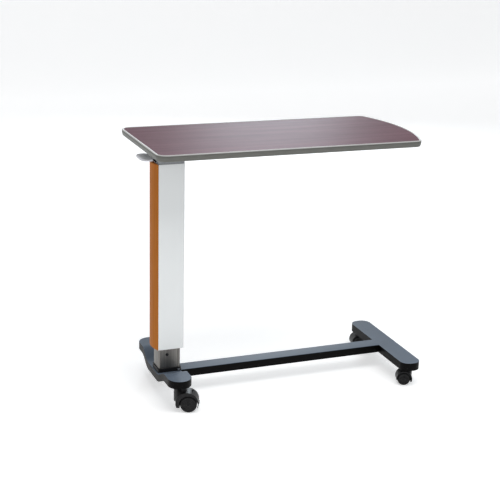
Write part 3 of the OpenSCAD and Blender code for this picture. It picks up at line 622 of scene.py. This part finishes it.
# %% The profile's section, carried round
side_steps = np.linspace(0, 1, 7)
side_z = -16.6 + (16.6 - 5.3) * side_steps
side_in = 2.3 * (1 - side_steps) ** 1.4 + 0.12
section = np.vstack([
    [[6.0, -18.0], [3.8, -18.0], [3.1, -17.75], [2.65, -17.3]],
    np.column_stack([side_in, side_z]),
    [[0.12, -4.75], [0.75, -4.6], [0.80, -4.1], [0.75, -3.65], [0.10, -3.45]],
    [[0.02, -2.6], [0.10, -1.5], [0.42, -0.62], [1.0, 0.15], [1.8, 0.62], [2.8, 0.80],
     [3.8, 0.72], [4.7, 0.42], [5.5, 0.10], [6.0, -0.05]]]) * MM
inset, drop = section[:, 0], section[:, 1]
ring = outline[:, None, :] - outward[:, None, :] * inset[None, :, None]
height = np.broadcast_to(surface_z + drop, ring.shape[:2])
band = Surface().grid(np.dstack([ring, height]))
edge_profile = band.piece("edge_profile", "edge_band", 50)
print("edge profile", ring.shape[0], "sections of", len(section), "points")

# %% [markdown]
# ## The release lever
# The paddle under the straight end is moulded: thick and rounded at its rim, flat on top, and
# it narrows to a neck that disappears into the column's head. It is lofted along its length.
# Each section is a superellipse, whose exponent makes it boxier than an ellipse.

# %% Lever
def superellipse(across, thick, power, count):
    """A closed section: |y/across|^power + |z/thick|^power = 1, walked once round."""
    a = np.linspace(0, 2 * np.pi, count, endpoint=False)[None, :]
    c, s = np.cos(a), np.sin(a)
    y = across[:, None] * np.sign(c) * np.abs(c) ** (2 / power)
    z = thick[:, None] * np.sign(s) * np.abs(s) ** (2 / power)
    return y, z


lever_low, lever_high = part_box("release_lever")
pivot_low, pivot_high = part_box("lever_pin")
lever_z = (pivot_low.z + pivot_high.z) / 2
paddle_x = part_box("wood_panel")[0].x - 3 * MM
tip_x = lever_low.x
along = np.concatenate([tip_x + (paddle_x - tip_x) * (1 - np.cos(np.linspace(0, np.pi / 2, 14))),
                        np.linspace(paddle_x + 1 * MM, lever_high.x - 3 * MM, 12),
                        lever_high.x - 3 * MM * (1 - np.sin(np.linspace(0.3, np.pi / 2, 5)))])
corner_round = 22 * MM
tip_round = np.clip((along - tip_x) / corner_round, 0, 1)
paddle_half = lever_high.y - corner_round * (1 - np.sqrt(1 - (1 - tip_round) ** 2))
neck = np.clip((along - paddle_x + 4 * MM) / (10 * MM), 0, 1)
neck = neck * neck * (3 - 2 * neck)
half_wide = paddle_half * (1 - neck) + 9.9 * MM * neck
nosing = np.clip((along - tip_x) / (7 * MM), 0, 1)
half_thick = (lever_high.z - lever_z - 0.1 * MM) * (0.42 + 0.58 * np.sqrt(1 - (1 - nosing) ** 2))
end_round = np.clip((lever_high.x - along) / (3 * MM), 0.25, 1)
y, z = superellipse(half_wide * (0.8 + 0.2 * end_round), half_thick, 3.4, 48)
z = np.where(z > 0, z * 0.92, z)
loft = np.dstack([np.broadcast_to(along[:, None], y.shape), y, lever_z + z])
lever = Surface().grid(loft)
nose_low, nose_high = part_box("valve_pin")
turn = np.linspace(0, 2 * np.pi, 25)[:-1]
nose_z = np.array([nose_high.z + 0.45 * MM, nose_high.z + 0.65 * MM, nose_high.z + 1.3 * MM, lever_z])
nose_r = np.array([0.8, 2.0, 3.4, 3.4]) * MM
nose = np.dstack([column_x + nose_r[:, None] * np.cos(turn), nose_r[:, None] * np.sin(turn),
                  np.broadcast_to(nose_z[:, None], (4, 24))])
lever.grid(nose)
lever.piece("lever", "release_lever", 50)
print("lever", loft.shape, "from x", round(tip_x, 4))

# %% [markdown]
# ## The lever's spring
# A torsion spring sits on the pivot pin beside the lever's neck. The model has closed rings in
# its place; the real one is a helix that leaves in two legs. A small circle is carried along
# the wire's path, on a frame that always has the pin's direction in it.

# %% Spring
def tube(path, radius, sides=10):
    """A circle carried along a path. Across the path, one direction is the path's own tangent
    crossed with the pin's direction, and the other completes the frame."""
    tangent = np.gradient(path, axis=0)
    tangent /= np.linalg.norm(tangent, axis=1, keepdims=True)
    first = np.cross(tangent, [0.12, 1.0, 0.07])
    first /= np.linalg.norm(first, axis=1, keepdims=True)
    second = np.cross(tangent, first)
    a = np.linspace(0, 2 * np.pi, sides, endpoint=False)[None, :, None]
    return path[:, None] + radius * (np.cos(a) * first[:, None] + np.sin(a) * second[:, None])


spring_low, spring_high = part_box("lever_spring")
wire = 0.55 * MM
coil = 4.4 * MM
pin_at = np.array([(pivot_low.x + pivot_high.x) / 2, 0, lever_z])
turns = np.linspace(0, 1, 150)
angle = np.pi / 2 + turns * 2 * np.pi * 4
rise = spring_low.y + wire + turns * (spring_high.y - spring_low.y - 2 * wire)
helix = np.column_stack([coil * np.cos(angle), rise, coil * np.sin(angle)]) + pin_at
leg = np.linspace(1, 0, 8)[:-1, None]
leg_in = helix[0] + leg * [12 * MM, 0, 0]
leg_out = helix[-1] - leg[::-1] * [11 * MM, 0, 0]
spring_path = np.vstack([leg_in, helix, leg_out])
Surface().grid(tube(spring_path, wire)).piece("torsion_spring", "lever_spring", 60)
print("spring wire", round(np.linalg.norm(np.diff(spring_path, axis=0), axis=1).sum(), 3), "m long")

# %% [markdown]
# ## Wheels
# Each wheel is a disc with a soft tread moulded over it. Round its rim runs a rounded shoulder,
# and inside that the face is dished, with six shallow pockets between spokes and a small cap
# that hides the axle's end. The face is a height over radius and angle, so the pockets are a
# product of two smooth steps.

# %% A caster's own axes
def caster_frame(corner):
    """The wheel centre, the rolling direction and the axle's direction of a caster. The axle runs
    from the b wheel's middle to the a wheel's."""
    ends = [np.array(sum(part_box(f"wheel_{corner}_{side}"), Vector())) / 2 for side in ("a", "b")]
    axle = ends[0] - ends[1]
    apart = np.linalg.norm(axle)
    axle /= apart
    return (ends[0] + ends[1]) / 2, np.cross([0, 0, 1], axle), axle, apart


def smooth(low, high, value):
    t = np.clip((value - low) / (high - low), 0, 1)
    return t * t * (3 - 2 * t)


def wheel(corner, side):
    """Rows follow the section from the bore's inner end out over the tread and back to the bore's
    outer end; columns go round the axle. Outer-face rows sink by the pockets' depth."""
    centre, ahead, axle, apart = caster_frame(corner)
    sign = 1 if side == "a" else -1
    low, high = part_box(f"wheel_{corner}_{side}")
    radius = (high.z - low.z) / 2
    wide = 17 * MM if corner[1] == "l" else 15 * MM
    bore = 3.05 * MM
    r, w = (np.array([
        [bore, 0], [radius - 2.2 * MM, 0], [radius - 1.0 * MM, 0.25 * MM],
        [radius - 0.35 * MM, 0.9 * MM], [radius - 0.03 * MM, 2.2 * MM], [radius, 4 * MM],
        [radius, wide - 6 * MM], [radius - 0.1 * MM, wide - 4.2 * MM],
        [radius - 0.7 * MM, wide - 2.2 * MM], [radius - 1.7 * MM, wide - 0.8 * MM],
        [radius - 3.0 * MM, wide - 0.1 * MM], [radius - 4.2 * MM, wide - 0.15 * MM],
        [radius - 5.0 * MM, wide - 0.7 * MM], [radius - 5.5 * MM, wide - 1.7 * MM]])).T
    face = np.linspace(radius - 6 * MM, 6.8 * MM, 14)
    cap_r = np.array([6.3, 5.9, 5.2, 3.8, 2.0, 0.2]) * MM
    cap_w = wide - np.array([2.2, 1.2, 0.62, 0.28, 0.14, 0.10]) * MM
    r = np.concatenate([r, face, cap_r, [0.2 * MM, bore]])
    w = np.concatenate([w, np.full(14, wide - 2.4 * MM), cap_w, [wide - 0.44 * MM] * 2])
    a = np.linspace(0, 2 * np.pi, 96, endpoint=False)
    between = smooth(0.25, 0.62, np.abs(np.sin(3 * a)))
    inside = smooth(7.2 * MM, 9.2 * MM, r) * smooth(radius - 6.2 * MM, radius - 8.2 * MM, r)
    outer = np.arange(len(r)) >= 14
    depth = w[:, None] - 1.3 * MM * (inside * outer)[:, None] * between[None, :]
    start = apart / 2 - wide / 2
    across = sign * (start + depth)
    spoke = np.cos(a)[:, None] * ahead + np.sin(a)[:, None] * np.array([0, 0, 1])
    points = centre + r[:, None, None] * spoke[None] + across[:, :, None] * axle
    name = f"wheel_{corner}_{side}"
    return Surface().grid(points, wrap_rows=True).piece("tyre_" + name, name, 32)


for corner in ("fl", "bl", "fr", "br"):
    for side in ("a", "b"):
        wheel(corner, side)
print("wheels", [round(caster_frame(c)[3], 4) for c in ("fl", "bl", "fr", "br")])

# %% [markdown]
# ## Hoods and pedals
# The hoods are one moulding each: a stem housing, a web between the wheels and a guard over
# them. The softened copy rounds its edges more than on the thin parts, as a mould does.

# %% Hoods and pedals
for corner in ("fl", "bl", "fr", "br"):
    soften("caster_hood_" + corner, (1.6 if corner[1] == "l" else 1.0) * MM, 4, angle=40)
for corner in ("fl", "bl"):
    soften("brake_pedal_" + corner, 0.5 * MM, 3, angle=40)
print("softened the hoods")

# %% [markdown]
# ## Floor and light
# The floor is plain and pale and curves up far behind. It glows a little, like a lit paper roll,
# so that it stays pale while the table is lit softly. A wide light hangs over the table and one
# stands at the left, where the panel's grain needs it. A low one stands behind, out of the
# camera's sight: the tops of the base and the laminate mirror it at a shallow angle.

# %% Floor
def studio_floor():
    """A sheet: level at first, then a quarter circle up, then upright, all along +Y."""
    bend = np.linspace(0, np.pi / 2, 24)
    y = np.concatenate([[-8.0], 5.0 + 2.0 * np.sin(bend), [7.0]])
    z = np.concatenate([[0.0], 2.0 * (1 - np.cos(bend)), [7.0]])
    x = np.array([-9.0, 9.0])
    points = np.dstack([np.broadcast_to(x, (len(y), 2)), np.broadcast_to(y[:, None], (len(y), 2)),
                        np.broadcast_to(z[:, None], (len(y), 2))])
    mesh = bpy.data.meshes.new("floor")
    quads = grid_faces(len(y), 2, False, False)[:, ::-1]
    mesh.from_pydata(points.reshape(-1, 3).tolist(), [], quads.tolist())
    mesh.shade_smooth()
    thing = bpy.data.objects.new("floor", mesh)
    bpy.context.scene.collection.objects.link(thing)
    return thing


def floor_paint(place):
    cloud = place.noise(0.6, 2, 0.5)
    return {"Base Color": cloud.mix((0.86, 0.86, 0.86), (0.88, 0.88, 0.88)),
            "Roughness": 0.75 + cloud * 0.1,
            "Emission Color": (1.0, 1.0, 1.0),
            "Emission Strength": 0.46}


finish("floor_paint", floor_paint)
studio_floor().data.materials.append(finishes["floor_paint"])

# %% Lights
def soft_light(name, place, target, size, power, colour=(1, 1, 1)):
    light = bpy.data.lights.new(name, "AREA")
    light.shape = "RECTANGLE"
    light.size, light.size_y = size
    light.energy = power
    light.color = colour
    thing = bpy.data.objects.new(name, light)
    bpy.context.scene.collection.objects.link(thing)
    toward = Vector(target) - Vector(place)
    thing.matrix_world = Matrix.Translation(place) @ toward.to_track_quat("-Z", "Y").to_matrix().to_4x4()
    return thing


soft_light("over", (0.1, -1.1, 3.0), (0, 0, 0.4), (2.6, 1.6), 46)
soft_light("left", (-3.0, -0.9, 1.4), (0, 0, 0.6), (1.6, 2.0), 10, (1.0, 0.98, 0.95))
mirrored = soft_light("behind", (1.45, 3.6, 1.6), (0.2, 0, 0.5), (0.9, 0.8), 26, (0.84, 0.93, 1.0))
mirrored.visible_camera = False
world = bpy.data.worlds.new("room")
world.use_nodes = True
world.node_tree.nodes["Background"].inputs["Color"].default_value = (0.94, 0.97, 1.0, 1)
world.node_tree.nodes["Background"].inputs["Strength"].default_value = 0.36
bpy.context.scene.world = world
bpy.context.scene.view_settings.view_transform = "Standard"
print("lights and room set")
